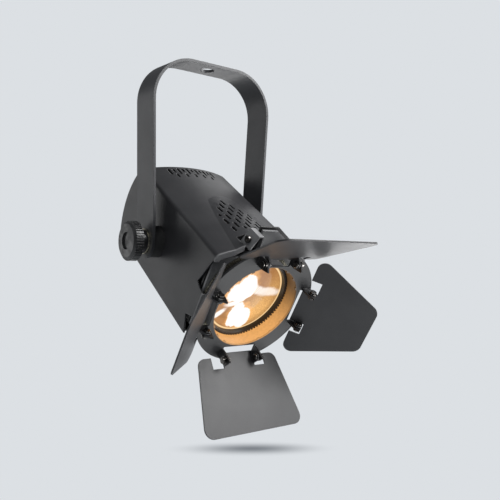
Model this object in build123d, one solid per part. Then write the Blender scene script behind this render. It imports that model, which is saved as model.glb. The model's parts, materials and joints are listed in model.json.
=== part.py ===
"""Small soft-edge stage luminaire with a hanging yoke and four-leaf barn door.

World frame: +Z up, origin at the centre of the hanging hole, on the top face of
the yoke.  X runs along the tilt axis.  The head is modelled in its own level
frame (x, a, u): a is the distance along the beam, u is the head's own up, and
the tilt axis passes through a = u = 0.  place_head() puts it in the world with
the beam pointing to -Y and down by TILT degrees.
"""
from build123d import *
import math
import os

# ---- driving dimensions (mm, degrees) ---------------------------------------
TILT = 30.8                 # beam below the horizontal at rest
PIVOT_DROP = 162.5          # top face of the yoke down to the tilt axis

STRAP_W = 30.0              # yoke strap
STRAP_T = 2.5
YOKE_TOP_HALF = 61.6        # inner half width at the top corners
YOKE_END_HALF = 56.8        # inner half width at the tilt axis
YOKE_BEND_Z = 22.0          # arms run parallel to each other below this height
YOKE_BEND_R = 36.5          # inner radius of the top corners
HANG_HOLE_R = 6.5

SHEET = 1.5                 # housing sheet
BODY_HALF = 46.5            # outer half width of the housing
RIDGE_U = 40.5              # where the side panels turn into the roof
CROWN_U = 49.5              # roof height on the centre line
BELLY_U = -35.7             # underside, on the tilt axis
BELLY_SLOPE = 0.038         # the underside drops towards the front by this much per millimetre
REAR_R = 75.0               # rear cover, concentric with the tilt axis
FRONT_A = 85.3              # front edge of roof and side lips
NOTCH_A = 73.5              # depth of the side notches
SIDE_LIP_TOP = 3.7          # lip between the upper and the lower side notch
SIDE_LIP_LOW = -18.7
BELLY_CORNER_A = 80.0       # front lower corner of the side panels
RIDGE_FILLET = 4.0
ROOF_LIP_DEPTH = 4.5
BELLY_FOOT = -45.0          # lower than any point of the underside

BULGE_NOSE_R = 50.6         # raised cone over the lens tube
BULGE_FRONT_R = 54.8
BULGE_NOSE_A = 2.0
BULGE_PLAN_R = 25.0         # rounding of its rear end seen from above
BELLY_BULGE_R = 45.4        # matching swelling of the bottom plate
BELLY_BULGE_A = 56.0
BELLY_FRONT_A = 78.0
VENT_W = 2.2
VENT_STEP = 4.6             # sideways distance of neighbouring slots
REAR_VENT_X = -2.3          # both groups sit a little left of the centre line
FRONT_VENT_X = -4.3
LATCH_SLOT_X = -22.5        # opening in the front of the roof for latch and tabs
TAB_SLOT_X = 33.0
TAB_SLOT_A = 75.9

STUD_R = 4.0                # tilt stud
KNOB_R = 17.3
KNOB_INNER_X = 68.0
KNOB_OUTER_X = 76.8
KNOB_BOSS_R = 10.5
KNOB_RIBS = 44
KNOB_RIB_DEPTH = 0.9
KNOB_FACE_R = 14.6          # flat outer face inside the chamfered rim
KNOB_RECESS_R = 7.5

BULKHEAD_A = 68.5
LENS_TUBE_R = 38.5          # outer radius of the fixed lens tube
LENS_R = 37.0
LENS_A = 80.4               # rear face of the lens rim
LENS_RIM = 3.0
LENS_DOME = 4.0

COLLAR_R = 39.2             # inner radius of the turning collar
COLLAR_T = 1.2
RING_A = 100.0              # front face of the barn door ring
RING_R = 55.0
RING_NOTCH_HALF = 16.3      # ring cut back between each pair of ears
RING_NOTCH_R = 40.4         # the notches reach the collar's outer wall
RING_TAB_ANGLES = (27, 45, 63)   # small tabs into the beam opening, in each quadrant
PIN_R = 1.5                 # hinge rivets
PIN_RADIAL = 47.5           # hinge line distance from the beam axis
PIN_PROUD = 8.2             # hinge line in front of the ring

LEAF_T = 1.2
LEAF_DROP = 6.0             # hinge line to the middle of the leaf sheet
LEAF_NEAR = -4.5            # hinge-side edge, measured along the leaf
TONGUE_NEAR = -8.0          # the tongue reaches almost to the collar
TONGUE_HALF = 15.8          # leaf tongue between its two ears
LEAF_NOTCH_HALF = 27.0
LEAF_NOTCH_END = 5.3
LEAF_NEAR_ROUND, LEAF_FAR_ROUND = 7.0, 8.0
# half width along the hinge-side edge and the far edge before rounding, length from the hinge line
WIDE_LEAF = (39.6, 50.4, 60.2)
NARROW_LEAF = (50.3, 21.6, 59.5)
LEAF_REST = {"top": 46.0, "bottom": 60.0, "left": 43.0, "right": 40.0}
LEAF_TURN = {"top": 0.0, "right": 90.0, "bottom": 180.0, "left": 270.0}

TAB_X0 = -8.2               # left edge of the accessory tabs
TAB_CHAMFER = 33.0          # slope of their right side
LATCH_PIN_A, LATCH_PIN_U = 81.0, 53.7

PANEL_A = -67.0             # outer face of the rear connector panel
PANEL_HALF_U = 29.7
PANEL_OPEN_X, PANEL_OPEN_U = 38.0, 28.8   # half size of the opening in front of it
SIGNAL_X = (-26.0, -2.5)    # signal inlet and outlet
SOCKET_R = 9.8
POLE_CIRCLE_R = 4.6
CONNECTOR_U = -10.0
INLET_X = 23.5              # mains inlet
FUSE_X, FUSE_U = 30.0, 9.0
DISPLAY_X0, DISPLAY_X1 = -37.0, -8.0
DISPLAY_U0, DISPLAY_U1 = 9.6, 21.2
BUTTON_X = (-2.0, 8.0, 18.0, 28.0)
BUTTON_U = 21.0
BUTTON_R = 3.2
BUTTON_NAMES = ("menu", "up", "down", "enter")
SCREW_R = 1.4
SCREW_HEAD_R = 2.8
BELLY_SCREWS = [(x, a) for x in (-38, 38) for a in (-54, 4, 62)]
PANEL_SCREWS = [(x, u) for x in (-35, 35) for u in (-25.4, 25.4)]

RUNNING = 0.05              # radial running clearance of hinge pins
SNUG = 0.02                 # radial gap of parts assembled on one body


# ---- helpers -----------------------------------------------------------------
def place_head(shape):
    """Head frame to world frame."""
    return Pos(0, 0, -PIVOT_DROP) * Rot(TILT, 0, 0) * shape


def box_between(x0, x1, a0, a1, u0, u1):
    """Box given by its limits in the head frame."""
    size = Box(x1 - x0, a1 - a0, u1 - u0)
    return Pos((x0 + x1) / 2, -(a0 + a1) / 2, (u0 + u1) / 2) * size


def disc(radius, a0, a1, x=0.0, u=0.0):
    """Round bar along the beam direction."""
    bar = Cylinder(radius, a1 - a0, rotation=(90, 0, 0))
    return Pos(x, -(a0 + a1) / 2, u) * bar


def tube(outer, inner, a0, a1, x=0.0, u=0.0):
    return disc(outer, a0, a1, x, u) - disc(inner, a0 - 1, a1 + 1, x, u)


def cone_along(r0, r1, a0, a1):
    """Cone along the beam, radius r0 at a0 and r1 at a1."""
    body = Cone(r0, r1, a1 - a0, rotation=(90, 0, 0))
    return Pos(0, -(a0 + a1) / 2, 0) * body


def cross_bar(radius, x0, x1, a=0.0, u=0.0):
    """Round bar along X."""
    bar = Cylinder(radius, x1 - x0, rotation=(0, 90, 0))
    return Pos((x0 + x1) / 2, -a, u) * bar


def belly_u(a):
    """Height of the underside at a distance along the beam."""
    return BELLY_U - BELLY_SLOPE * a


def on_belly(shape):
    """Tip a shape drawn on a level underside to the slope of the real one."""
    slope = Rot(math.degrees(math.atan(BELLY_SLOPE)), 0, 0)
    return Pos(0, 0, BELLY_U) * slope * Pos(0, 0, -BELLY_U) * shape


def side_plate(points, x0, x1):
    """Sheet with an (a, u) outline, from x0 to x1."""
    outline = Polyline(*[(-a, u) for a, u in points], close=True)
    return Pos(x0, 0, 0) * extrude(Plane.YZ * make_face(outline), x1 - x0)


def turned(shape, angle):
    """Turn a shape about the beam axis."""
    return Rot(0, angle, 0) * shape


def save(name, shape):
    export_step(shape, f"parts/{name}.step")


def save_head(name, shape):
    save(name, place_head(shape))


def group(shapes):
    return Compound(children=list(shapes))


# ---- yoke --------------------------------------------------------------------
def yoke_outline(grow, foot):
    """Closed outline of the yoke opening, grown outward by grow."""
    end, top, roof = YOKE_END_HALF + grow, YOKE_TOP_HALF + grow, PIVOT_DROP - STRAP_T + grow
    points = [(-end, foot), (-end, YOKE_BEND_Z), (-top, roof), (top, roof), (end, YOKE_BEND_Z), (end, foot)]
    face = Plane.XZ * make_face(Polyline(*points, close=True))
    corners = [v for v in face.vertices() if v.Z > roof - 1]
    return fillet(corners, YOKE_BEND_R + grow)


def yoke_bracket():
    foot = -STRAP_W / 2 - 1
    half = STRAP_W / 2
    strap = extrude(yoke_outline(STRAP_T, foot), half, both=True)
    strap -= extrude(yoke_outline(0, foot - 5), half + 1, both=True)
    side = Pos(0, 0, PIVOT_DROP / 2 + 1) * Box(200, STRAP_W, PIVOT_DROP + 2)
    side += cross_bar(half, -100, 100)
    strap &= side
    strap -= cross_bar(STUD_R + 0.3, -100, 100)
    strap -= Pos(0, 0, PIVOT_DROP) * Cylinder(HANG_HOLE_R, 20)
    return Pos(0, 0, -PIVOT_DROP) * strap


# ---- tilt hardware -----------------------------------------------------------
def knob(side):
    """Ribbed clamping knob with a chamfered face and a boss towards the yoke arm."""
    boss_x = YOKE_END_HALF + STRAP_T + 1.6
    core, slope = KNOB_R - KNOB_RIB_DEPTH, 1.8
    shoulder = KNOB_OUTER_X - slope
    body = cross_bar(core, KNOB_INNER_X, shoulder)
    body += Pos(shoulder + slope / 2, 0, 0) * Cone(core, KNOB_FACE_R, slope, rotation=(0, 90, 0))
    rib = Box(shoulder - KNOB_INNER_X, 1.5, 2 * KNOB_RIB_DEPTH)
    rib = Pos((KNOB_INNER_X + shoulder) / 2, 0, core) * rib
    body = body + [Rot(360 / KNOB_RIBS * n, 0, 0) * rib for n in range(KNOB_RIBS)]
    body += cross_bar(KNOB_BOSS_R, boss_x, KNOB_INNER_X)
    body -= cross_bar(KNOB_RECESS_R, KNOB_OUTER_X - 1.6, KNOB_OUTER_X + 1)
    body -= cross_bar(STUD_R + RUNNING, boss_x - 1, KNOB_OUTER_X - 3)
    return body if side > 0 else Rot(0, 0, 180) * body


def stud(side):
    """Threaded tilt stud with a flat head inside the housing."""
    bar = cross_bar(STUD_R, BODY_HALF - SHEET, KNOB_OUTER_X - 3.5)
    bar += cross_bar(9.0, BODY_HALF - SHEET - 4.0, BODY_HALF - SHEET)
    return bar if side > 0 else Rot(0, 0, 180) * bar


def friction_disc(side):
    """Spacer and friction face between the housing and the yoke arm."""
    plate = cross_bar(14.0, BODY_HALF, YOKE_END_HALF - 0.3)
    plate -= cross_bar(10.5, YOKE_END_HALF - 1.3, YOKE_END_HALF)
    plate += cross_bar(7.0, YOKE_END_HALF - 1.5, YOKE_END_HALF - 0.3)
    plate -= cross_bar(STUD_R + SNUG, BODY_HALF - 1, YOKE_END_HALF + 1)
    return plate if side > 0 else Rot(0, 0, 180) * plate


def knob_washer(side):
    outer_face = YOKE_END_HALF + STRAP_T
    ring = cross_bar(11.0, outer_face + 0.3, outer_face + 1.5)
    ring -= cross_bar(STUD_R + RUNNING, outer_face, outer_face + 2)
    return ring if side > 0 else Rot(0, 0, 180) * ring


# ---- housing -----------------------------------------------------------------
def crown_block(inset, foot, a0=-120.0, a1=120.0):
    """Inverted-U block of the housing, from the foot up to the crowned roof."""
    half, ridge, crown = BODY_HALF - inset, RIDGE_U - inset, CROWN_U - inset
    sag = crown - ridge
    roof_r = (half ** 2 + sag ** 2) / (2 * sag)
    block = box_between(-half, half, a0, a1, foot, crown + 5)
    block &= disc(roof_r, a0 - 1, a1 + 1, 0, crown - roof_r)
    corners = [e for e in block.edges().filter_by(Axis.Y) if e.center().Z > 0]
    return fillet(corners, max(RIDGE_FILLET - inset, 0.8))


def bulge(inset):
    """Cone over the lens tube; its rear end is rounded seen from above."""
    reach, wide = FRONT_A + 20, 42.0
    taper = (BULGE_FRONT_R - BULGE_NOSE_R) / (FRONT_A - BULGE_NOSE_A)
    r1 = BULGE_NOSE_R + taper * (reach - BULGE_NOSE_A) - inset
    centre = BULGE_NOSE_A + BULGE_PLAN_R
    plan = Pos(0, -(centre + reach + 5) / 2) * Rectangle(2 * wide, reach + 5 - centre)
    plan += Pos(0, -centre) * Circle(BULGE_PLAN_R - inset)
    above = Pos(0, 0, 25) * extrude(plan, 45)
    return cone_along(BULGE_NOSE_R - inset, r1, BULGE_NOSE_A, reach) & above


def outer_form(inset, foot):
    """Roof and sides of the housing as a solid block, moved inward by inset."""
    return crown_block(inset, foot).fuse(bulge(inset))


def side_profile():
    """Outline of the head seen from the side, with the hand notches in front."""
    top, wide, reach = 70.0, 60.0, 90.0
    front = [(FRONT_A, top), (FRONT_A, RIDGE_U), (NOTCH_A, 8.6), (FRONT_A, SIDE_LIP_TOP)]
    front += [(FRONT_A, SIDE_LIP_LOW), (NOTCH_A, -23.5), (BELLY_CORNER_A, belly_u(BELLY_CORNER_A))]
    body = side_plate([(0, top)] + front + [(0, belly_u(0))], -wide, wide)
    rear = [(0.01, top + reach), (0.01, belly_u(0)), (-reach, belly_u(-reach)), (-reach, reach)]
    return body + (cross_bar(REAR_R, -wide, wide) & side_plate(rear, -wide, wide))


def roof_slot(x, a0, a1):
    """Cutter for one ventilation slot through the roof, running along the beam."""
    slot = extrude(Rot(0, 0, 90) * SlotOverall(a1 - a0, VENT_W), 30)
    return Pos(x, -(a0 + a1) / 2, RIDGE_U + 4.5) * slot


def rear_vents():
    """Long slots with short ones between them, where the roof turns down to the rear."""
    cuts = [roof_slot(REAR_VENT_X + (2 * n + 1) * VENT_STEP, -54, -43) for n in range(-3, 3)]
    for n in range(-2, 3):
        x = REAR_VENT_X + 2 * n * VENT_STEP
        cuts += [roof_slot(x, -53.5, -47), roof_slot(x, -43.5, -37)]
    return cuts


def front_vents():
    """Slanted rows of slots in the raised cone, behind a curved rear border."""
    pitch, shift, length, shortest, front_end = 13.8, 5.8, 9.0, 2.5, 63.0
    cuts = []
    for column in range(-3, 4):
        rear_end = 9.0 + 2.67 * column ** 2
        for row in range(-1, 7):
            centre = 15.0 - shift * column + pitch * row
            a0 = max(centre - length / 2, rear_end)
            a1 = min(centre + length / 2, front_end)
            if a1 - a0 > shortest:
                cuts.append(roof_slot(FRONT_VENT_X + column * VENT_STEP, a0, a1))
    return cuts


def housing_shell():
    """Side panels and crowned roof bent from one sheet."""
    shell = outer_form(0, BELLY_FOOT) & side_profile()
    shell -= outer_form(SHEET, BELLY_FOOT - 20)
    shell = shell.cut(*rear_vents(), *front_vents())
    shell += roof_lip()
    for side in (-1, 1):
        shell += side_lip(side)
        shell -= cross_bar(STUD_R + SNUG, side * BODY_HALF - 5, side * BODY_HALF + 5)
    shell -= box_between(LATCH_SLOT_X, TAB_SLOT_X, TAB_SLOT_A, FRONT_A + 1, 43, 70)
    return shell - box_between(LATCH_SLOT_X, -7.0, 71.0, FRONT_A, 43, 70)


def roof_lip():
    """Flange folded down along the front edge of the roof."""
    front = box_between(-60, 60, FRONT_A - SHEET, FRONT_A, RIDGE_U - 6, 70)
    return (outer_form(0, BELLY_FOOT) & front) - outer_form(ROOF_LIP_DEPTH, BELLY_FOOT - 20)


def side_lip(side):
    """Lip folded inward from the side panel that holds the barn door base."""
    x0, x1 = side * (BODY_HALF - 10.0), side * BODY_HALF
    lip = box_between(min(x0, x1), max(x0, x1), FRONT_A - SHEET, FRONT_A, SIDE_LIP_LOW, SIDE_LIP_TOP)
    return lip - disc(COLLAR_R + COLLAR_T + 0.8, FRONT_A - 5, FRONT_A + 5)


def bottom_plate():
    """Vented underside, with a swelling that clears the turning collar."""
    half = BODY_HALF - SHEET - 0.1
    plate = box_between(-half, half, -66.0, BELLY_FRONT_A, BELLY_U, BELLY_U + SHEET)
    slot = Pos(0, 0, BELLY_U) * extrude(SlotOverall(12, 2.4), 10, both=True)
    slots = [Pos(18 * row, 40 - 7 * n, 0) * slot for row in (-1, 0, 1) for n in range(9)]
    holes = [screw_hole(x, a, BELLY_U, "u") for x, a in BELLY_SCREWS]
    plate = on_belly(plate.cut(*slots, *holes))
    top = belly_u(BELLY_FRONT_A) + SHEET - 0.05
    swell = box_between(-30, 30, BELLY_BULGE_A, BELLY_FRONT_A, -60, top)
    plate += disc(BELLY_BULGE_R, BELLY_BULGE_A, BELLY_FRONT_A) & swell
    return plate - disc(BELLY_BULGE_R - SHEET, BELLY_BULGE_A + SHEET, BELLY_FRONT_A + 5)


def rear_cover():
    """Curved rear sheet with the opening for the connector panel."""
    sheet = cross_bar(REAR_R, -44.8, 44.8) - cross_bar(REAR_R - SHEET, -46, 46)
    sheet &= crown_block(SHEET + 0.2, belly_u(-REAR_R) + SHEET + 0.1, -90, -40)
    return sheet - box_between(-PANEL_OPEN_X, PANEL_OPEN_X, -90, -50, -PANEL_OPEN_U, PANEL_OPEN_U)


def rear_panel():
    """Flat connector panel behind the opening of the rear cover."""
    half = BODY_HALF - SHEET - 0.2
    front, back = PANEL_A - 1, PANEL_A + SHEET + 1
    panel = box_between(-half, half, PANEL_A, PANEL_A + SHEET, -PANEL_HALF_U, PANEL_HALF_U)
    for x in SIGNAL_X:
        panel -= disc(SOCKET_R + 0.2, front, back, x, CONNECTOR_U)
    gap = 0.2
    panel -= inlet_block(10.8 + gap, 7.8 + gap, front, back)
    panel -= disc(5.0, front, back, FUSE_X, FUSE_U)
    window = (DISPLAY_U0 - gap, DISPLAY_U1 + gap)
    panel -= box_between(DISPLAY_X0 - gap, DISPLAY_X1 + gap, front, back, *window)
    for x in BUTTON_X:
        panel -= disc(BUTTON_R + 0.4, front, back, x, BUTTON_U)
    for x, u in PANEL_SCREWS:
        panel -= screw_hole(x, PANEL_A, u, "a")
    return panel


# ---- rear panel fittings -------------------------------------------------------


def signal_socket(x, pins):
    """Round three-pole signal connector in a square flange."""
    half_x, half_u = 11.0, 12.5
    low, high = CONNECTOR_U - half_u, CONNECTOR_U + half_u
    flange = box_between(x - half_x, x + half_x, PANEL_A - 1.8, PANEL_A, low, high)
    part = fillet(flange.edges().filter_by(Axis.Y), 3)
    part += disc(SOCKET_R, PANEL_A, PANEL_A + 19, x, CONNECTOR_U)
    if pins:
        part -= disc(SOCKET_R - 1.2, PANEL_A - 3, PANEL_A + 13, x, CONNECTOR_U)
    for turn in (90, 210, 330):
        pole_x = x + POLE_CIRCLE_R * math.cos(math.radians(turn))
        pole_u = CONNECTOR_U + POLE_CIRCLE_R * math.sin(math.radians(turn))
        if pins:
            part += disc(1.2, PANEL_A - 0.5, PANEL_A + 14, pole_x, pole_u)
        else:
            part -= disc(1.4, PANEL_A - 3, PANEL_A + 11, pole_x, pole_u)
    return part


def inlet_block(half_x, half_u, a0, a1):
    """Block centred on the power inlet, given by its half sizes and its depth."""
    low, high = CONNECTOR_U - half_u, CONNECTOR_U + half_u
    return box_between(INLET_X - half_x, INLET_X + half_x, a0, a1, low, high)


def power_inlet():
    """Three-blade mains inlet with a recessed mouth."""
    flange = inlet_block(13.0, 10.5, PANEL_A - 2, PANEL_A)
    part = fillet(flange.edges().filter_by(Axis.Y), 2.5)
    part += inlet_block(10.8, 7.8, PANEL_A, PANEL_A + 20)
    mouth = inlet_block(9.2, 6.2, PANEL_A - 3, PANEL_A + 15)
    part -= chamfer(mouth.edges().filter_by(Axis.Y).group_by(Axis.Z)[-1], 3.0)
    blade = Pos(INLET_X, 0, CONNECTOR_U) * box_between(-0.9, 0.9, PANEL_A, PANEL_A + 16, -2, 2)
    for x, u in ((-6.0, -1.5), (0, 1.8), (6.0, -1.5)):
        part += Pos(x, 0, u) * blade
    return part


def fuse_holder():
    part = disc(6.4, PANEL_A - 3.5, PANEL_A, FUSE_X, FUSE_U)
    part = chamfer(part.edges().group_by(Axis.Y)[-1], 0.8)
    part += disc(4.9, PANEL_A, PANEL_A + 18, FUSE_X, FUSE_U)
    slot = box_between(FUSE_X - 4, FUSE_X + 4, PANEL_A - 4, PANEL_A - 2.5, FUSE_U - 0.8, FUSE_U + 0.8)
    return part - slot


def display():
    bezel_x, bezel_u = 1.8, 1.6
    frame = box_between(DISPLAY_X0, DISPLAY_X1, PANEL_A - 0.8, PANEL_A + 5, DISPLAY_U0, DISPLAY_U1)
    return frame - box_between(DISPLAY_X0 + bezel_x, DISPLAY_X1 - bezel_x, PANEL_A - 2, PANEL_A - 0.2,
                               DISPLAY_U0 + bezel_u, DISPLAY_U1 - bezel_u)


def button(n):
    cap = disc(BUTTON_R, PANEL_A - 2.0, PANEL_A + 1.9, BUTTON_X[n], BUTTON_U)
    cap = fillet(cap.edges().group_by(Axis.Y)[-1], 0.6)
    return cap + disc(1.3, PANEL_A + 1.9, PANEL_A + 3.2, BUTTON_X[n], BUTTON_U)


def control_board():
    """Board behind the panel carrying the display and the button switches."""
    board = box_between(-40, 40, PANEL_A + 7.0, PANEL_A + 8.6, 5, 28)
    board -= disc(5.3, PANEL_A, PANEL_A + 20, FUSE_X, FUSE_U)
    switch = box_between(-3, 3, PANEL_A + 4.4, PANEL_A + 7.0, BUTTON_U - 3, BUTTON_U + 3)
    for x in BUTTON_X:
        board += Pos(x, 0, 0) * switch
    return board


# ---- light engine -------------------------------------------------------------
def front_bulkhead():
    """Plate across the housing that carries the lens tube."""
    foot = belly_u(BULKHEAD_A) + SHEET + 0.1
    plate = crown_block(SHEET + 0.15, foot, BULKHEAD_A, BULKHEAD_A + SHEET)
    plate += disc(BELLY_BULGE_R - SHEET - 0.4, BULKHEAD_A, BULKHEAD_A + SHEET)
    return plate - disc(LENS_TUBE_R + SNUG, 0, 100)


def lens_tube():
    part = tube(LENS_TUBE_R, LENS_R + 0.2, BULKHEAD_A - 6, 83.4)
    part += tube(LENS_TUBE_R + 1.2, LENS_TUBE_R - 0.5, BULKHEAD_A - 6, BULKHEAD_A)
    return part + tube(LENS_TUBE_R - 0.2, LENS_R - 1.5, LENS_A - 2.0, LENS_A)


def lens():
    """Plano-convex lens with a plain rim."""
    rim = disc(LENS_R, LENS_A, LENS_A + LENS_RIM)
    dome_base = LENS_R - 1.2
    radius = (dome_base ** 2 + LENS_DOME ** 2) / (2 * LENS_DOME)
    centre_a = LENS_A + LENS_RIM + LENS_DOME - radius
    dome = Pos(0, -centre_a, 0) * Sphere(radius)
    dome &= disc(dome_base, LENS_A + LENS_RIM, LENS_A + LENS_RIM + LENS_DOME + 1)
    return rim + dome


def lens_retaining_ring():
    """Screw ring in front of the lens with fine teeth to grip it."""
    inner, outer, depth = 35.6, LENS_TUBE_R, 4.4
    a0 = LENS_A + LENS_RIM + 0.05
    part = tube(outer, inner, a0, a0 + depth)
    tooth = box_between(-0.55, 0.55, a0 + depth - 1.2, a0 + depth + 0.4, outer - 1.5, outer + 0.6)
    teeth = [turned(tooth, 4 * n + 2) for n in range(90)]
    return part.cut(*teeth)


def reflector():
    """Polished cone from the light source to the lens."""
    outer = cone_along(13.0, 36.0, 8.5, 62.0)
    inner = cone_along(12.0, 35.0, 8.4, 62.1)
    part = outer - inner
    return part + tube(16.0, 12.5, 8.5, 10.0)


def led_board():
    board = box_between(-20, 20, 4.1, 6.1, -20, 20)
    return fillet(board.edges().filter_by(Axis.Y), 3)


def led_emitter():
    return disc(9.0, 6.1, 7.6)


def heat_sink():
    """Finned block behind the light source."""
    block = box_between(-36, 36, -2, 4, -19, 33)
    for n in range(13):
        x = -36 + n * 5.8
        block += box_between(x, x + 2.2, -30, -2, -19, 33)
    return block


def power_supply():
    """Board above the underside with its tallest components."""
    base = -32.4
    board = box_between(-33, 33, -30, 22, base, base + 1.5)
    for x0, x1, a0, a1, height in ((-30, -12, -26, -6, 9.0), (-8, 10, -24, 4, 10.0), (16, 30, -20, -2, 8.0),
                                   (-28, -16, 2, 16, 6.5), (14, 28, 4, 18, 7.5)):
        board += box_between(x0, x1, a0, a1, base + 1.5, base + 1.5 + height)
    return board


def driver_board():
    board = box_between(-34, 34, -39, -37.4, -26, 26)
    for x0, u0 in ((-26, -16), (-4, 2), (14, -18), (-24, 10)):
        board += box_between(x0, x0 + 12, -37.4, -33.0, u0, u0 + 10)
    return board


def safety_eye():
    """Bent plate under the rear of the head for a safety cable."""
    plate = box_between(-9, 9, -52, -34, BELLY_U - 2, BELLY_U)
    ear = box_between(-1.2, 1.2, -52, -34, BELLY_U - 16, BELLY_U)
    ear = fillet(ear.edges().filter_by(Axis.X).group_by(Axis.Z)[0], 6)
    return on_belly(plate + ear - cross_bar(4.5, -5, 5, -43, BELLY_U - 9))


def cap_screw(x, a, u, direction):
    """Pan head screw, direction +1 when the shank points to +a or +u."""
    cross = Box(3.6, 0.8, 0.9) + Box(0.8, 3.6, 0.9)
    head = Cylinder(SCREW_HEAD_R, 1.4) - Pos(0, 0, 0.5) * cross
    screw = Pos(0, 0, 0.7) * head + Pos(0, 0, -2.0) * Cylinder(SCREW_R, 4.0)
    turn = Rot(-90, 0, 0) if direction == "a" else Rot(180, 0, 0)
    return Pos(x, -a, u) * turn * screw


def screw_hole(x, a, u, direction):
    hole = Cylinder(SCREW_R + SNUG, 12)
    turn = Rot(90, 0, 0) if direction == "a" else Rot(0, 0, 0)
    return Pos(x, -a, u) * turn * hole



# ---- front accessories --------------------------------------------------------
def accessory_plate(a0, a1, hole, tab_x1, tab_end, tab_u):
    """Plate held in the front of the head, with a grip tab through the roof.

    The tab is level up to tab_x1, then slopes down until tab_end.
    """
    half = BODY_HALF - SHEET - 0.6
    plate = box_between(-half, half, a0, a1, -35.0, 37.5)
    plate = chamfer(plate.edges().filter_by(Axis.Y), 6)
    plate += disc(BELLY_BULGE_R - SHEET - 0.6, a0, a1)
    slope = math.tan(math.radians(TAB_CHAMFER))
    foot_u = 30.0
    end_u = tab_u - (tab_end - tab_x1) * slope
    tab = [(TAB_X0, foot_u), (TAB_X0, tab_u), (tab_x1, tab_u), (tab_end, end_u), (tab_end, foot_u)]
    outline = make_face(Polyline(*tab, close=True))
    plate += Pos(0, -a0, 0) * extrude(Plane.XZ * outline, a1 - a0)
    return plate - disc(hole, a0 - 1, a1 + 1)


def colour_frame():
    return accessory_plate(76.3, 77.9, hole=39.0, tab_x1=11.0, tab_end=32.5, tab_u=63.6)


def barn_base():
    hole = COLLAR_R + COLLAR_T + 0.3
    return accessory_plate(80.0, 82.0, hole, tab_x1=7.3, tab_end=29.5, tab_u=62.4)


def latch_bracket():
    """Ear under the roof that carries the latch."""
    under = disc(52.0, 64.0, 70.6) - disc(50.5, 60, 75)
    foot = under & box_between(-21.0, -5.0, 60, 75, 40, 60)
    ear = side_plate([(71.3, 47.6), (84.0, 47.6), (84.0, 56.5), (78.0, 56.5), (71.3, 51.0)], -13.3, -11.7)
    bridge = box_between(-13.3, -11.7, 64.0, 72.0, 47.6, 50.2)
    return foot + bridge + ear - latch_axis(1.5 + SNUG, -30, 0)


def latch_axis(radius, x0, x1):
    return cross_bar(radius, x0, x1, LATCH_PIN_A, LATCH_PIN_U)


def latch():
    """Rocking latch folded from sheet, open underneath, over its bracket."""
    outer = [(-20.0, 47.6), (-15.0, 60.0), (-10.0, 60.0), (-9.0, 52.0)]
    inner = [(-18.7, 47.0), (-14.2, 58.8), (-11.1, 58.8), (-10.2, 51.0)]
    profile = make_face(Polyline(*outer, (-9.0, 47.6), close=True))
    profile -= make_face(Polyline(*inner, (-10.2, 47.0), close=True))
    shape = Pos(0, -74.0, 0) * extrude(Plane.XZ * profile, 14.0)
    return shape - latch_axis(1.5 + RUNNING, -30, 0)


def latch_screw():
    """Shoulder screw the latch rocks on."""
    screw = latch_axis(1.5, -19.0, -8.2)
    screw += latch_axis(2.9, -20.6, -18.9) - latch_axis(1.3, -21.0, -19.8)
    return screw + latch_axis(2.6, -8.7, -8.2)


# ---- barn door -----------------------------------------------------------------
def barn_collar():
    """Turning collar behind the ring, running in the base plate."""
    outer = COLLAR_R + COLLAR_T
    part = tube(outer, COLLAR_R, 78.3, RING_A - SHEET)
    return part + tube(outer + 2.6, COLLAR_R + 0.2, 78.3, 79.6)


def collar_retainer():
    outer = COLLAR_R + COLLAR_T
    return tube(outer + 2.8, outer + SNUG, 82.3, 83.4)


def ring_ear(side):
    """Pointed ear folded forward from the ring; it carries a hinge rivet."""
    back = RING_A - SHEET
    outline = [(back, 42.2), (back, 51.4), (107.5, 51.4), (110.6, 50.2)]
    outline += [(115.0, 44.2), (112.0, 43.4), (106.0, 42.2)]
    x0, x1 = RING_NOTCH_HALF, RING_NOTCH_HALF + SHEET
    ear = side_plate(outline, x0, x1)
    ear -= cross_bar(PIN_R + SNUG, 0, 30, RING_A + PIN_PROUD, PIN_RADIAL)
    return ear if side > 0 else mirror(ear, Plane.YZ)


def barn_ring():
    """Lobed ring in front of the collar, with four pairs of hinge ears."""
    back = RING_A - SHEET
    ring = tube(RING_R, COLLAR_R, back, RING_A)
    notch = box_between(-RING_NOTCH_HALF, RING_NOTCH_HALF, back - 1, RING_A + 1, RING_NOTCH_R, RING_R + 5)
    tab = box_between(-1.25, 1.25, back, RING_A, COLLAR_R - 1.0, COLLAR_R + 0.5)
    for quadrant in LEAF_TURN.values():
        ring -= turned(notch, quadrant)
    for quadrant in LEAF_TURN.values():
        for angle in RING_TAB_ANGLES:
            ring += turned(tab, quadrant + angle)
        for side in (-1, 1):
            ring += turned(ring_ear(side), quadrant)
    return ring


def hinge_rivet(side):
    """Rivet through one ring ear and one leaf ear, headed at both ends."""
    x_in, x_out = 14.2, 19.0
    a, r = RING_A + PIN_PROUD, PIN_RADIAL
    rivet = cross_bar(PIN_R, x_in, x_out, a, r)
    rivet += fillet(cross_bar(2.9, x_in - 1.2, x_in, a, r).edges().group_by(Axis.X)[0], 0.9)
    rivet += cross_bar(2.6, x_out, x_out + 1.6, a, r)
    return rivet if side > 0 else mirror(rivet, Plane.YZ)


def hinge_washer(side):
    a, r = RING_A + PIN_PROUD, PIN_RADIAL
    x0 = RING_NOTCH_HALF + SHEET + 0.05
    ring = cross_bar(3.6, x0, 19.0 - 0.05, a, r) - cross_bar(PIN_R + SNUG, 10, 30, a, r)
    return ring if side > 0 else mirror(ring, Plane.YZ)


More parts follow.
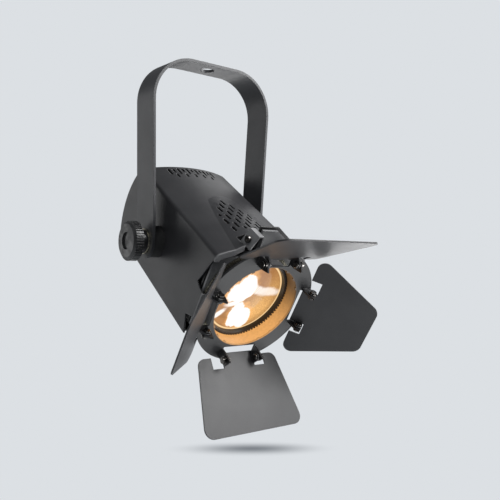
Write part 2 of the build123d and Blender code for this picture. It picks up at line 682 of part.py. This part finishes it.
def leaf_outline(near_half, far_half, length):
    """Flat leaf with rounded corners, a tongue and a notch beside each ear."""
    near = [(-near_half, LEAF_NEAR), (near_half, LEAF_NEAR)]
    far = [(far_half, length), (-far_half, length)]
    face = make_face(Polyline(*near, *far, close=True))
    face = fillet([v for v in face.vertices() if v.Y > 0], LEAF_FAR_ROUND)
    face = fillet([v for v in face.vertices() if v.Y < LEAF_NEAR + 0.1], LEAF_NEAR_ROUND)
    notch = Rectangle(LEAF_NOTCH_HALF - TONGUE_HALF, 20)
    for side in (-1, 1):
        face -= Pos(side * (LEAF_NOTCH_HALF + TONGUE_HALF) / 2, LEAF_NOTCH_END - 10) * notch
    return face + Pos(0, TONGUE_NEAR / 2) * Rectangle(2 * TONGUE_HALF, -TONGUE_NEAR)


def leaf_ear(side):
    """Ear folded up from the tongue of a leaf, around the hinge line."""
    width = 3.6
    plate = Pos(0, LEAF_DROP / 2, 0) * Box(LEAF_T, LEAF_DROP, 2 * width)
    plate += Cylinder(width, LEAF_T, rotation=(0, 90, 0))
    plate -= Cylinder(PIN_R + RUNNING, 10, rotation=(0, 90, 0))
    return Pos(side * (TONGUE_HALF - LEAF_T / 2), 0, 0) * plate


def leaf(name):
    """One leaf at its rest angle, measured from lying flat with the ring."""
    shape = WIDE_LEAF if name in ("top", "bottom") else NARROW_LEAF
    face = Plane.XZ * leaf_outline(*shape)
    sheet = Pos(0, LEAF_DROP, 0) * extrude(face, LEAF_T / 2, both=True)
    for side in (-1, 1):
        sheet += leaf_ear(side)
    hinge = Pos(0, -(RING_A + PIN_PROUD), PIN_RADIAL)
    return turned(hinge * Rot(LEAF_REST[name], 0, 0) * sheet, LEAF_TURN[name])


# ---- write every node ----------------------------------------------------------
def main():
    os.makedirs("parts", exist_ok=True)
    save("yoke_bracket", yoke_bracket())
    for name, side in (("left", -1), ("right", 1)):
        save_head(f"tilt_knob_{name}", knob(side))
        save_head(f"tilt_stud_{name}", stud(side))
        save_head(f"friction_disc_{name}", friction_disc(side))
        save_head(f"knob_washer_{name}", knob_washer(side))

    save_head("housing_shell", housing_shell())
    save_head("bottom_plate", bottom_plate())
    save_head("rear_cover", rear_cover())
    save_head("rear_panel", rear_panel())
    save_head("belly_screws", group(on_belly(cap_screw(x, a, BELLY_U, "u")) for x, a in BELLY_SCREWS))
    save_head("panel_screws", group(cap_screw(x, PANEL_A, u, "a") for x, u in PANEL_SCREWS))
    save_head("signal_inlet", signal_socket(SIGNAL_X[0], True))
    save_head("signal_outlet", signal_socket(SIGNAL_X[1], False))
    save_head("power_inlet", power_inlet())
    save_head("fuse_holder", fuse_holder())
    save_head("display", display())
    save_head("control_board", control_board())
    for n, name in enumerate(BUTTON_NAMES):
        save_head(f"button_{name}", button(n))

    save_head("front_bulkhead", front_bulkhead())
    save_head("lens_tube", lens_tube())
    save_head("lens", lens())
    save_head("lens_retaining_ring", lens_retaining_ring())
    save_head("reflector", reflector())
    save_head("led_board", led_board())
    save_head("led_emitter", led_emitter())
    save_head("heat_sink", heat_sink())
    save_head("power_supply", power_supply())
    save_head("driver_board", driver_board())
    save_head("safety_eye", safety_eye())

    save_head("colour_frame", colour_frame())
    save_head("latch_bracket", latch_bracket())
    save_head("accessory_latch", latch())
    save_head("latch_screw", latch_screw())
    save_head("barn_base", barn_base())
    save_head("barn_collar", barn_collar())
    save_head("collar_retainer", collar_retainer())
    save_head("barn_ring", barn_ring())
    sides = [(angle, side) for angle in LEAF_TURN.values() for side in (-1, 1)]
    save_head("hinge_rivets", group(turned(hinge_rivet(side), angle) for angle, side in sides))
    save_head("hinge_washers", group(turned(hinge_washer(side), angle) for angle, side in sides))
    for name in LEAF_TURN:
        save_head(f"leaf_{name}", leaf(name))


main()
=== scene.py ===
"""Looks for the small stage luminaire: finishes, lit lens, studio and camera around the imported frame.

Everything is in metres in the row frame.  The head frame used by some materials
is (x, -a, u): x along the tilt axis, a along the beam, u the head's own up, with
its origin on the tilt axis.
"""

import json
import math

import bpy
from mathutils import Matrix, Vector


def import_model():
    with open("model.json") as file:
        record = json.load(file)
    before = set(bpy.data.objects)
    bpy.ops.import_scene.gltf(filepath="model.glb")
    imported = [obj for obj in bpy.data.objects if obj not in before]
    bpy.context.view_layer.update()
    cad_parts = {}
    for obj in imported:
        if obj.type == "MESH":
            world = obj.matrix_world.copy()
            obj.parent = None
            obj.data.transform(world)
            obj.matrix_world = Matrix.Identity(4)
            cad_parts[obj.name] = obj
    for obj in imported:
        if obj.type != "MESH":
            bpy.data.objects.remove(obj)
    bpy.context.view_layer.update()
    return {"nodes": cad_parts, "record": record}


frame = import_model()

MM = 0.001
JOINTS = {joint["name"]: joint for joint in frame["record"]["behaviour"]["joints"]}
PIVOT = Vector(JOINTS["head_tilt"]["pos_m"])
BEAM = Vector(JOINTS["barn_door_turn"]["axis"])
TILT = math.asin(-BEAM.z)

PALE = (0.716, 0.745, 0.775)        # backdrop and floor, linear
# colours of the lamp's light, painted as emission on the lens and on the collar wall
AMBER = (0.95, 0.46, 0.14)
AMBER_DEEP = (0.30, 0.12, 0.035)
AMBER_LIT = (0.80, 0.46, 0.16)
AMBER_FRINGE = (1.0, 0.50, 0.16)
AMBER_RIM = (1.0, 0.72, 0.38)
WHITE_HOT = (1.0, 0.96, 0.92)
WHITE_SOFT = (1.0, 0.94, 0.88)

WALL_R, WALL_SOFT = 39.3 * MM, 39.9 * MM       # inner wall of the collar and just behind it
HEAD_FRONT, HIGHLIGHT_WIDTH = 85.3 * MM, 1.8 * MM   # front edge of the head and the width of the painted highlight band along it
FLAT = (1, 1e6, 1)                             # scale that makes the beam direction count for nothing

# Painted reflections and glow in the lens, in mm and degrees: centre x, centre u, half length, half width,
# turn, softness.
HOT_SPOTS = ((-8, 8.5, 15.5, 10, 49, 0.10), (-5, -19, 14, 8, -86, 0.08), (2, -21, 13, 8.5, -66, 0.08),
             (-23, -17, 7, 2.2, 55, 0.5), (-13, -5, 7, 2.4, 20, 0.5))
HALOES = ((-11, 11, 19, 13, 49, 0.3), (-1, -20, 16, 13, -75, 0.25))
ARCS = ((17, 6, 16, 4.0, -9, 0.4), (7, 8, 7, 4.0, -9, 0.3))
WARM_SPOT = (16, -13, 17, 15, 40, 0.8)
WARM_SIDE = (26, 12, 10, 16, 0, 0.8)
ARC_PITCH = 1.15 * MM                          # fine concentric lines that cross the arcs
RIM_IN, RIM_OUT = (33.4 * MM, 34.0 * MM), (35.0 * MM, 35.5 * MM)
FACETS = 780.0                                 # reflector facets per metre


# ---- node trees ------------------------------------------------------------------
class Tree:
    """Thin wrapper that keeps a material's node code short."""

    def __init__(self, name):
        self.mat = bpy.data.materials.new(name)
        self.mat.use_nodes = True
        self.nodes = self.mat.node_tree.nodes
        self.links = self.mat.node_tree.links
        self.shader = self.nodes["Principled BSDF"]
        self.coord = self.nodes.new("ShaderNodeTexCoord").outputs["Object"]

    def link(self, a, b):
        self.links.new(a, b)

    def set(self, **values):
        """Uniform shader inputs, with underscores for spaces."""
        for key, value in values.items():
            self.shader.inputs[key.replace("_", " ")].default_value = value

    def placed(self, source, location=(0, 0, 0), rotation=(0, 0, 0), scale=(1, 1, 1)):
        """Coordinates as seen from a frame with this location, rotation and scale."""
        node = self.nodes.new("ShaderNodeMapping")
        node.vector_type = "TEXTURE"
        node.inputs["Location"].default_value = location
        node.inputs["Rotation"].default_value = rotation
        node.inputs["Scale"].default_value = scale
        self.link(source, node.inputs["Vector"])
        return node.outputs["Vector"]

    def head(self):
        """Head-frame coordinates (x, -a, u)."""
        return self.placed(self.coord, PIVOT, (TILT, 0, 0))

    def split(self, vector):
        node = self.nodes.new("ShaderNodeSeparateXYZ")
        self.link(vector, node.inputs[0])
        return node.outputs

    def length(self, vector):
        node = self.nodes.new("ShaderNodeVectorMath")
        node.operation = "LENGTH"
        self.link(vector, node.inputs[0])
        return node.outputs["Value"]

    def math(self, operation, a, b=0.0):
        node = self.nodes.new("ShaderNodeMath")
        node.operation = operation
        for index, value in enumerate((a, b)):
            if isinstance(value, (int, float)):
                node.inputs[index].default_value = value
            else:
                self.link(value, node.inputs[index])
        return node.outputs[0]

    def noise(self, scale, detail=4.0, rough=0.55, source=None):
        node = self.nodes.new("ShaderNodeTexNoise")
        node.inputs["Scale"].default_value = scale
        node.inputs["Detail"].default_value = detail
        node.inputs["Roughness"].default_value = rough
        self.link(source or self.coord, node.inputs["Vector"])
        return node.outputs["Fac"]

    def ramp(self, fac, low, high, start=0.35, end=0.65):
        node = self.nodes.new("ShaderNodeMapRange")
        node.interpolation_type = "SMOOTHSTEP"
        node.inputs["From Min"].default_value = start
        node.inputs["From Max"].default_value = end
        node.inputs["To Min"].default_value = low
        node.inputs["To Max"].default_value = high
        self.link(fac, node.inputs["Value"])
        return node.outputs["Result"]

    def mix(self, fac, first, second):
        """Colour mix; each colour is a tuple or a socket."""
        node = self.nodes.new("ShaderNodeMix")
        node.data_type = "RGBA"
        for index, value in ((6, first), (7, second)):
            if isinstance(value, tuple):
                node.inputs[index].default_value = (*value, 1)
            else:
                self.link(value, node.inputs[index])
        self.link(fac, node.inputs[0])
        return node.outputs[2]

    def rounded(self, radius):
        """Normal with softened sheet edges."""
        node = self.nodes.new("ShaderNodeBevel")
        node.samples = 4
        node.inputs["Radius"].default_value = radius
        return node.outputs["Normal"]

    def edges(self, normal):
        """1 on an edge or corner, 0 on a flat face."""
        flat = self.nodes.new("ShaderNodeNewGeometry").outputs["Normal"]
        node = self.nodes.new("ShaderNodeVectorMath")
        node.operation = "DOT_PRODUCT"
        self.link(normal, node.inputs[0])
        self.link(flat, node.inputs[1])
        return self.ramp(node.outputs["Value"], 1.0, 0.0, 0.80, 0.99)

    def bump(self, height, distance, strength=1.0, normal=None):
        node = self.nodes.new("ShaderNodeBump")
        node.inputs["Distance"].default_value = distance
        node.inputs["Strength"].default_value = strength
        self.link(height, node.inputs["Height"])
        if normal:
            self.link(normal, node.inputs["Normal"])
        self.link(node.outputs["Normal"], self.shader.inputs["Normal"])


# ---- finishes --------------------------------------------------------------------
def powder_coat(name, dark, light, worn=(0.13, 0.13, 0.135), specular=0.5, fold=0.5 * MM):
    """Satin powder coat: orange peel, cloudy sheen, faint dust and edges rubbed shiny."""
    t = Tree(name)
    soft = t.rounded(fold)
    edge = t.math("MULTIPLY", t.edges(soft), t.ramp(t.noise(260.0, 5.0, 0.7), 0.1, 0.75, 0.40, 0.62))
    cloud = t.ramp(t.noise(34.0, 6.0, 0.6), 0.0, 1.0, 0.3, 0.7)
    tone = t.mix(cloud, dark, light)
    dust = t.ramp(t.noise(1400.0, 2.0, 0.6), 0.0, 0.25, 0.62, 0.80)
    tone = t.mix(dust, tone, worn)
    t.link(t.mix(edge, tone, worn), t.shader.inputs["Base Color"])
    sheen = t.ramp(t.noise(45.0, 6.0, 0.62), 0.41, 0.45, 0.25, 0.75)
    t.link(t.math("SUBTRACT", sheen, t.math("MULTIPLY", edge, 0.12)), t.shader.inputs["Roughness"])
    t.set(Specular_IOR_Level=specular)
    t.bump(t.noise(1500.0, 2.0, 0.5), 0.05 * MM, 0.5, soft)
    return t


def painted_highlight_band(t, tone):
    """Painted highlight: a lighter band along the front edge of the head."""
    band = t.ramp(t.split(t.head())[1], 0.9, 0.0, -HEAD_FRONT, HIGHLIGHT_WIDTH - HEAD_FRONT)
    coat = t.shader.inputs["Base Color"].links[0].from_socket
    t.link(t.mix(band, coat, tone), t.shader.inputs["Base Color"])
    return t


def metal(name, dark, light, rough, stretch=(1, 1, 1)):
    """Bare metal with a fine grain, drawn out along stretch, and rounded edges."""
    t = Tree(name)
    t.set(Metallic=1.0)
    soft = t.rounded(0.25 * MM)
    streak = t.noise(900.0, 3.0, 0.6, t.placed(t.coord, PIVOT, (TILT, 0, 0), stretch))
    stain = t.ramp(t.noise(120.0, 5.0), 0.0, 1.0)
    t.link(t.mix(stain, dark, light), t.shader.inputs["Base Color"])
    t.link(t.ramp(streak, rough[0], rough[1], 0.3, 0.7), t.shader.inputs["Roughness"])
    t.bump(streak, 0.03 * MM, 0.5, soft)
    return t


def plastic(name, dark, light, rough=(0.3, 0.5), grain=2200.0, worn=(0.07, 0.07, 0.072)):
    """Moulded plastic with a spark-eroded grain, polished where fingers touch its edges."""
    t = Tree(name)
    soft = t.rounded(0.35 * MM)
    edge = t.math("MULTIPLY", t.edges(soft), t.ramp(t.noise(330.0, 4.0), 0.2, 0.8))
    tone = t.mix(t.ramp(t.noise(60.0, 5.0), 0.0, 1.0), dark, light)
    t.link(t.mix(edge, tone, worn), t.shader.inputs["Base Color"])
    sheen = t.ramp(t.noise(150.0, 5.0), rough[0], rough[1])
    t.link(t.math("SUBTRACT", sheen, t.math("MULTIPLY", edge, 0.15)), t.shader.inputs["Roughness"])
    t.bump(t.noise(grain, 2.0), 0.04 * MM, 0.7, soft)
    return t


def board(name, dark, light):
    """Circuit board: glossy solder mask, brassy at its edges."""
    return plastic(name, dark, light, (0.2, 0.35), 1800.0, worn=(0.35, 0.3, 0.12))


def glowing(name, color, strength):
    """Phosphor surface with a fine grain."""
    t = Tree(name)
    t.set(Base_Color=(*color, 1), Emission_Strength=strength, Roughness=0.6)
    grain = t.ramp(t.noise(2500.0, 3.0), 0.0, 1.0)
    t.link(t.mix(grain, tuple(0.8 * c for c in color), color), t.shader.inputs["Emission Color"])
    t.bump(t.noise(1200.0), 0.05 * MM, 0.4)
    return t


def lamplit(t, strength):
    """Paint the lamp's warm light on the wall of the beam opening as emission, brightest at the bottom."""
    head = t.head()
    x, _, u = t.split(head)
    wall = t.ramp(t.length(t.placed(head, scale=FLAT)), 1.0, 0.0, WALL_R, WALL_SOFT)
    low = t.math("ADD", t.math("MULTIPLY", x, 0.2), t.math("MULTIPLY", u, -0.98))
    fall = t.ramp(low, 0.13, 1.0, -12 * MM, 39 * MM)
    grain = t.ramp(t.noise(420.0, 5.0, 0.6), 0.88, 1.04, 0.3, 0.7)
    level = t.math("MULTIPLY", t.math("MULTIPLY", fall, grain), wall)
    t.link(t.mix(level, (0.0, 0.0, 0.0), AMBER), t.shader.inputs["Emission Color"])
    t.set(Emission_Strength=strength)
    return t


def reflection(t, head, wobble, shape):
    """1 inside a painted reflection with an uneven outline, 0 outside it; shape is as listed at the top."""
    x, u, length, width, turn, soft = shape
    turned = (0, -math.radians(turn), 0)
    near = t.placed(head, (x * MM, 0, u * MM), turned, (length * MM, FLAT[1], width * MM))
    uneven = t.math("MULTIPLY", t.math("SUBTRACT", wobble, 0.5), 0.9)
    reach = t.math("ADD", t.length(near), uneven)
    return t.ramp(reach, 1.0, 0.0, 1.0 - soft, 1.0 + soft)


def lit_lens(name):
    """Glass lens with the lamp burning behind it painted on as emission: painted hot reflections over a
    faceted amber reflector.
    """
    t = Tree(name)
    head = t.head()
    wobble = t.noise(95.0, 3.0, 0.6)
    radius = t.length(t.placed(head, scale=FLAT))

    def brightest(shapes):
        level = 0.0
        for shape in shapes:
            level = t.math("MAXIMUM", reflection(t, head, wobble, shape), level)
        return level

    cells = t.nodes.new("ShaderNodeTexVoronoi")
    cells.inputs["Scale"].default_value = FACETS
    t.link(t.placed(head, scale=(1, 1e3, 1)), cells.inputs["Vector"])
    facet = t.ramp(cells.outputs["Distance"], 1.0, 0.62, 0.05, 0.75)

    side = t.math("MULTIPLY", reflection(t, head, wobble, WARM_SIDE), 0.8)
    warm = t.math("MAXIMUM", reflection(t, head, wobble, WARM_SPOT), side)
    warm = t.math("MULTIPLY", t.math("ADD", t.math("MULTIPLY", warm, 0.85), 0.15), facet)
    # painted shade: the glow darker towards the top
    darker_up = t.ramp(t.split(head)[2], 1.0, 0.45, -2 * MM, 24 * MM)
    color = t.mix(t.math("MULTIPLY", warm, darker_up), AMBER_DEEP, AMBER_LIT)

    lines = t.math("SINE", t.math("MULTIPLY", radius, 2 * math.pi / ARC_PITCH))
    arc = t.math("MULTIPLY", brightest(ARCS), t.ramp(lines, 0.55, 1.0, -0.6, 0.9))
    color = t.mix(t.math("MULTIPLY", arc, 0.95), color, WHITE_SOFT)
    color = t.mix(t.math("MULTIPLY", brightest(HALOES), 0.6), color, AMBER_FRINGE)
    color = t.mix(brightest(HOT_SPOTS), color, WHITE_HOT)

    # painted highlight along the lens rim
    rim = t.math("MULTIPLY", t.ramp(radius, 0.0, 1.0, *RIM_IN), t.ramp(radius, 1.0, 0.0, *RIM_OUT))
    color = t.mix(t.math("MULTIPLY", rim, 0.8), color, AMBER_RIM)
    t.link(color, t.shader.inputs["Emission Color"])
    t.set(Base_Color=(0.05, 0.035, 0.02, 1), Emission_Strength=1.12, IOR=1.5, Coat_Weight=0.6)
    t.link(t.ramp(t.noise(400.0, 4.0), 0.06, 0.16), t.shader.inputs["Roughness"])
    t.bump(facet, 0.08 * MM, 0.25)
    return t


def housing_coat():
    coat = powder_coat("housing_black", (0.016, 0.016, 0.018), (0.024, 0.024, 0.026), fold=1.1 * MM)
    # painted highlight band along the head's front edge
    return painted_highlight_band(coat, (0.22, 0.22, 0.225))


def door_coat(name, dark, light, glow, specular=0.5):
    """Powder coat of a barn door piece, with the lamp's light on it painted as emission."""
    return lamplit(powder_coat(name, dark, light, specular=specular), glow)


FINISHES = {
    "yoke_black": powder_coat("yoke_black", (0.026, 0.027, 0.030), (0.036, 0.037, 0.041)),
    "housing_black": housing_coat(),
    "panel_black": powder_coat("panel_black", (0.014, 0.014, 0.015), (0.022, 0.022, 0.023)),
    "door_black": powder_coat("door_black", (0.022, 0.022, 0.024), (0.031, 0.031, 0.033)),
    "frame_dark": powder_coat("frame_dark", (0.009, 0.009, 0.010), (0.015, 0.015, 0.015)),
    "plate_grey": powder_coat("plate_grey", (0.10, 0.102, 0.106), (0.15, 0.152, 0.156), (0.3, 0.3, 0.31)),
    "latch_grey": powder_coat("latch_grey", (0.15, 0.15, 0.154), (0.20, 0.20, 0.204), (0.42, 0.42, 0.43)),
    "zinc_steel": metal("zinc_steel", (0.42, 0.38, 0.27), (0.66, 0.62, 0.50), (0.18, 0.38)),
    "black_steel": metal("black_steel", (0.06, 0.057, 0.054), (0.20, 0.19, 0.18), (0.12, 0.26)),
    "knob_plastic": plastic("knob_plastic", (0.012, 0.012, 0.013), (0.020, 0.020, 0.021), (0.32, 0.50)),
    "friction_rubber": plastic("friction_rubber", (0.012, 0.012, 0.012), (0.02, 0.02, 0.02), (0.6, 0.8)),
    "socket_black": plastic("socket_black", (0.012, 0.012, 0.013), (0.018, 0.018, 0.019), (0.2, 0.35)),
    "button_grey": plastic("button_grey", (0.09, 0.09, 0.095), (0.13, 0.13, 0.135), worn=(0.22, 0.22, 0.22)),
    "display_glass": plastic("display_glass", (0.008, 0.010, 0.018), (0.012, 0.016, 0.028),
                             rough=(0.06, 0.12), grain=300.0),
    "lens_glass": lit_lens("lens_glass"),
    "inner_aluminium": metal("inner_aluminium", (0.45, 0.45, 0.45), (0.62, 0.62, 0.63), (0.22, 0.4),
                             stretch=(1, 8, 1)),
    "reflector_chrome": metal("reflector_chrome", (0.85, 0.8, 0.7), (0.95, 0.9, 0.8), (0.08, 0.16)),
    "led_yellow": glowing("led_yellow", (1.0, 0.72, 0.38), 4.0),
    "board_green": board("board_green", (0.01, 0.07, 0.03), (0.02, 0.11, 0.045)),
}

# barn door pieces with the lamp's light painted on them as emission
LAMPLIT = {
    "barn_collar": door_coat("collar_lamplit", (0.024, 0.024, 0.026), (0.034, 0.034, 0.036), 0.88),
    "barn_ring": door_coat("ring_lamplit", (0.012, 0.012, 0.013), (0.018, 0.018, 0.019), 0.6, 0.4),
}

for entry in frame["record"]["subparts"]:
    node = frame["nodes"][entry["node"]]
    finish = LAMPLIT.get(entry["node"]) or FINISHES[entry["material_slot"]]
    for index in range(len(node.material_slots)):
        node.material_slots[index].material = finish.mat


# ---- stage -------------------------------------------------------------------------
CAMERA_AZIMUTH = math.radians(37.41)
CAMERA_ELEVATION = math.radians(0.76)
CAMERA_ROLL = math.radians(1.92)
CAMERA_FROM_PIVOT = Vector((-0.3143, -0.4858, 0.0026))
LENS_MM, SENSOR_MM = 44.59, 36.0
ROOM_STRENGTH = 0.28                # light of the room, compared with the backdrop
FLOOR_Z = -0.3410                   # about 26 mm below the lowest leaf at rest
FLOOR_R = 0.6
FLOOR_FADE = (0.30, 0.58)           # distance where the floor starts and ends to fade
SHADOW_CENTRE = Vector((0.020, -0.061, FLOOR_Z))
SHADOW_SIZE = (0.066, 0.018, 1)     # half length and half width
SHADOW_TURN = 0.119                 # keeps the shadow level in the rolled camera
SHADOW_TONE = (0.215, 0.232, 0.255)


def floor():
    """Pale disc under the object that fades into the backdrop, with a painted soft shadow of the object."""
    rings, sides = 24, 96
    verts, faces = [SHADOW_CENTRE[:]], []
    for ring in range(1, rings + 1):
        radius = FLOOR_R * ring / rings
        for side in range(sides):
            angle = 2 * math.pi * side / sides
            spoke = Vector((math.cos(angle), math.sin(angle), 0))
            verts.append((SHADOW_CENTRE + radius * spoke)[:])
    for side in range(sides):
        after = (side + 1) % sides
        faces.append((0, 1 + side, 1 + after))
        for ring in range(rings - 1):
            low, high = 1 + ring * sides, 1 + (ring + 1) * sides
            faces.append((low + side, high + side, high + after, low + after))
    mesh = bpy.data.meshes.new("floor")
    mesh.from_pydata(verts, [], faces)
    obj = bpy.data.objects.new("floor", mesh)
    bpy.context.scene.collection.objects.link(obj)
    t = Tree("floor_pale")
    # painted shadow: a dark ellipse in the floor's emission colour
    spot = t.placed(t.coord, SHADOW_CENTRE, (0, 0, SHADOW_TURN - CAMERA_AZIMUTH), SHADOW_SIZE)
    shade = t.math("POWER", t.ramp(t.length(spot), 1.0, 0.0, 0.0, 1.25), 1.3)
    t.link(t.mix(shade, PALE, SHADOW_TONE), t.shader.inputs["Emission Color"])
    t.set(Base_Color=(0, 0, 0, 1), Specular_IOR_Level=0.0, Emission_Strength=1.0, Roughness=1.0)
    away = t.length(t.placed(t.coord, SHADOW_CENTRE))
    t.link(t.ramp(away, 1.0, 0.0, *FLOOR_FADE), t.shader.inputs["Alpha"])
    mesh.materials.append(t.mat)
    obj.visible_shadow = False


def area_light(name, direction, distance, size, power):
    """Soft box that looks at the tilt axis from a direction; the camera doesn't see it."""
    data = bpy.data.lights.new(name, "AREA")
    data.shape = "RECTANGLE"
    data.size, data.size_y = size
    data.energy = power
    obj = bpy.data.objects.new(name, data)
    bpy.context.scene.collection.objects.link(obj)
    obj.location = PIVOT + distance * Vector(direction).normalized()
    obj.rotation_euler = (PIVOT - obj.location).to_track_quat("-Z", "Y").to_euler()
    obj.visible_camera = False


def world():
    """The camera sees the pale backdrop; the object is lit by a dimmer room."""
    w = bpy.data.worlds.new("studio")
    bpy.context.scene.world = w
    w.use_nodes = True
    nodes, links = w.node_tree.nodes, w.node_tree.links
    room = nodes["Background"]
    room.inputs["Color"].default_value = (*PALE, 1)
    room.inputs["Strength"].default_value = ROOM_STRENGTH
    backdrop = nodes.new("ShaderNodeBackground")
    backdrop.inputs["Color"].default_value = (*PALE, 1)
    mix = nodes.new("ShaderNodeMixShader")
    links.new(nodes.new("ShaderNodeLightPath").outputs["Is Camera Ray"], mix.inputs["Fac"])
    links.new(room.outputs[0], mix.inputs[1])
    links.new(backdrop.outputs[0], mix.inputs[2])
    links.new(mix.outputs[0], nodes["World Output"].inputs["Surface"])


def camera():
    """Stands in front and left of the head, level with the tilt axis."""
    level = Vector((math.sin(CAMERA_AZIMUTH), math.cos(CAMERA_AZIMUTH), 0))
    forward = level * math.cos(CAMERA_ELEVATION) - Vector((0, 0, math.sin(CAMERA_ELEVATION)))
    right = forward.cross(Vector((0, 0, 1))).normalized()
    up = right.cross(forward)
    right_rolled = right * math.cos(CAMERA_ROLL) + up * math.sin(CAMERA_ROLL)
    up_rolled = up * math.cos(CAMERA_ROLL) - right * math.sin(CAMERA_ROLL)
    data = bpy.data.cameras.new("camera")
    data.lens, data.sensor_width = LENS_MM, SENSOR_MM
    data.clip_start = 0.01
    obj = bpy.data.objects.new("camera", data)
    bpy.context.scene.collection.objects.link(obj)
    turn = Matrix((right_rolled, up_rolled, -forward)).transposed().to_4x4()
    obj.matrix_world = Matrix.Translation(PIVOT + CAMERA_FROM_PIVOT) @ turn
    bpy.context.scene.camera = obj


floor()
world()
camera()
area_light("front_right_high", (0.543, -0.54, 0.64), 1.0, (0.55, 0.55), 15.0)
area_light("front_right_low", (0.543, -0.60, -0.20), 1.0, (0.35, 0.5), 6.0)
area_light("front_right_floor", (0.543, -0.395, -0.74), 0.9, (0.35, 0.35), 3.5)
area_light("rear_right_high", (0.62, 0.40, 0.66), 1.1, (0.4, 0.5), 0.9)
area_light("rear_left", (-0.543, 0.839, 0.10), 1.1, (0.4, 0.8), 1.4)
area_light("rear_card_strap", (0.50, 0.83, -0.30), 1.1, (0.28, 0.25), 0.9)
area_light("rear_card_right", (0.84, 0.54, -0.33), 1.1, (0.28, 0.6), 2.8)
area_light("front_left_high", (-0.60, -0.40, 0.85), 1.0, (0.3, 0.3), 1.7)
bpy.context.scene.view_settings.view_transform = "Standard"
